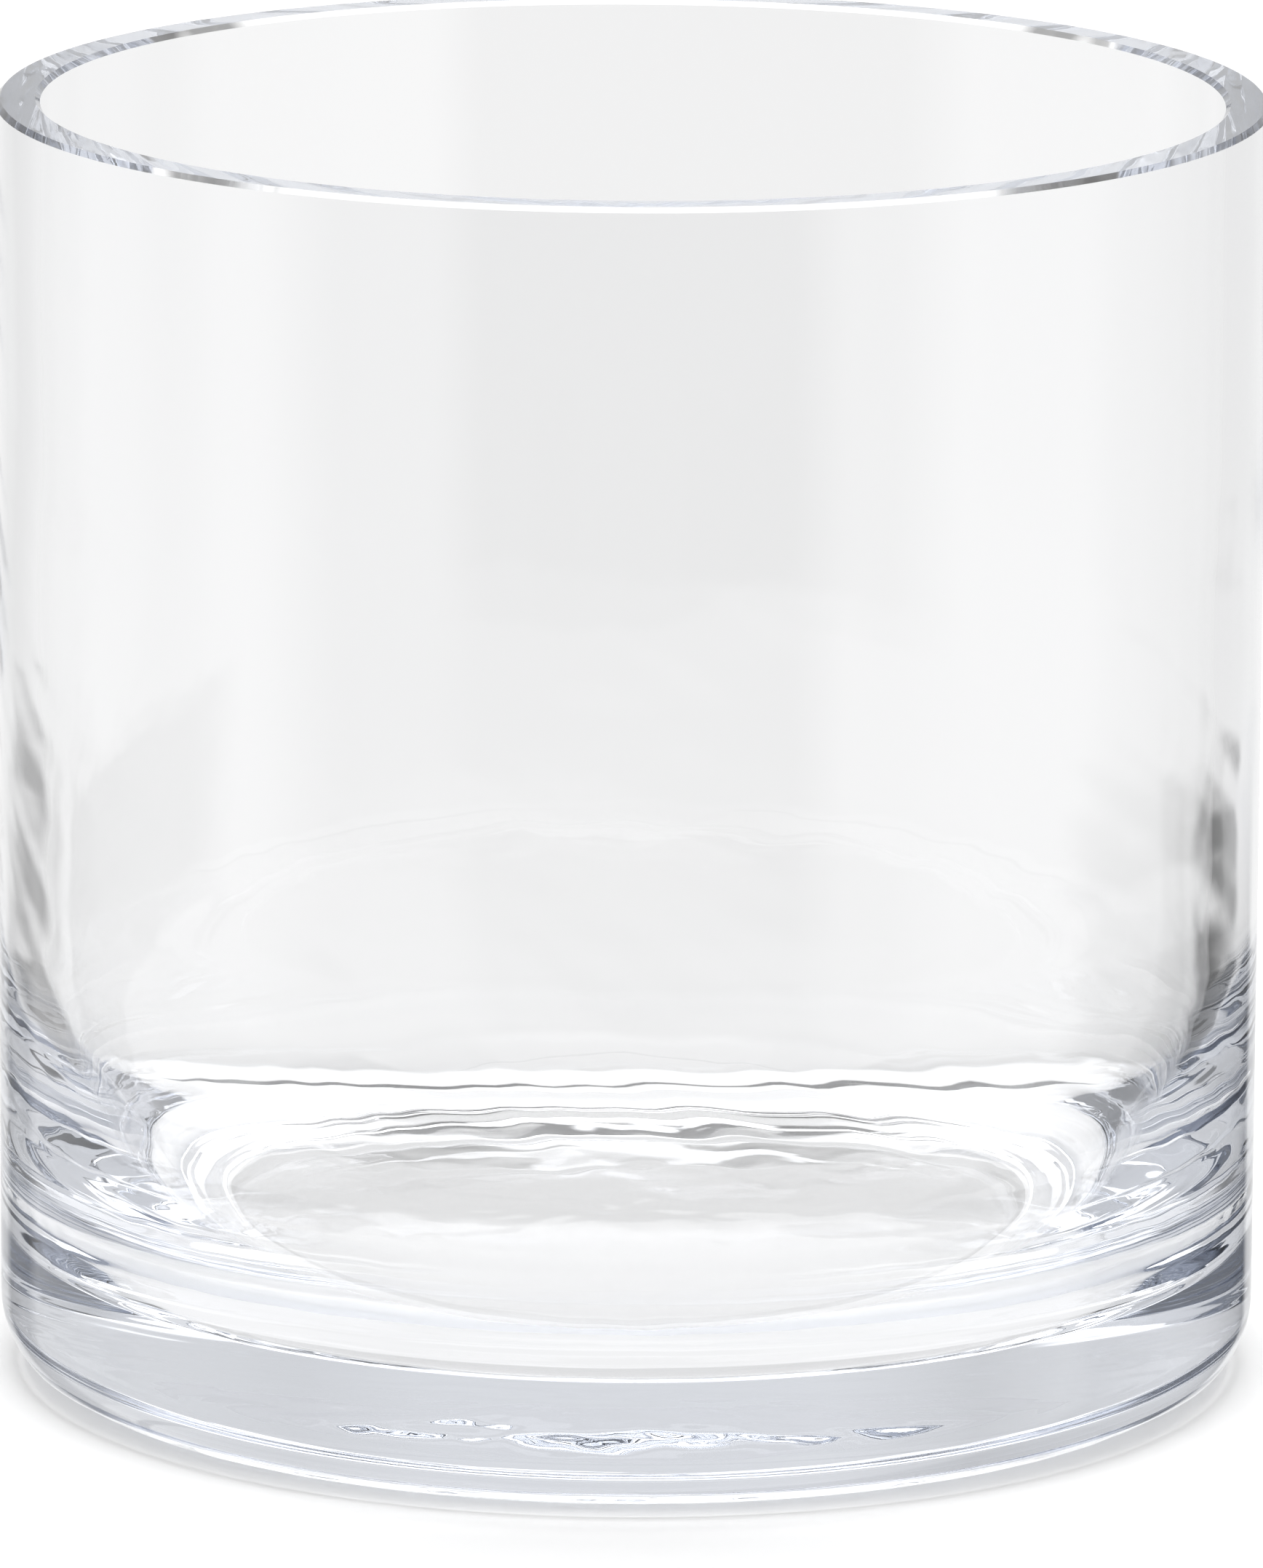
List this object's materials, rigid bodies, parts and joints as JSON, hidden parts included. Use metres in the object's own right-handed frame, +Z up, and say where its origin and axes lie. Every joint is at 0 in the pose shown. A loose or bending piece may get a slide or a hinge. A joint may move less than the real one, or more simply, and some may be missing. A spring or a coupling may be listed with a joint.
{
  "type": "glass cylinder vase",
  "caption": "Clear heavy glass cylinder vase: straight wall, thick base with a rounded inner corner, soft outer foot and a flat polished rim.",
  "frame": {"origin": "middle of the foot, on the surface that the vase stands on", "axes": "+Z up along the vase's own axis of revolution; the vase is round, so +X and +Y are any two directions at right angles"},
  "size_m": [0.2, 0.2, 0.204],
  "materials": {
    "clear_glass": "clear mouth-blown glass, fire-polished walls, ground and polished rim and foot"
  },
  "bodies": {
    "root": {"glass_vessel": "clear_glass"}
  },
  "joints": []
}
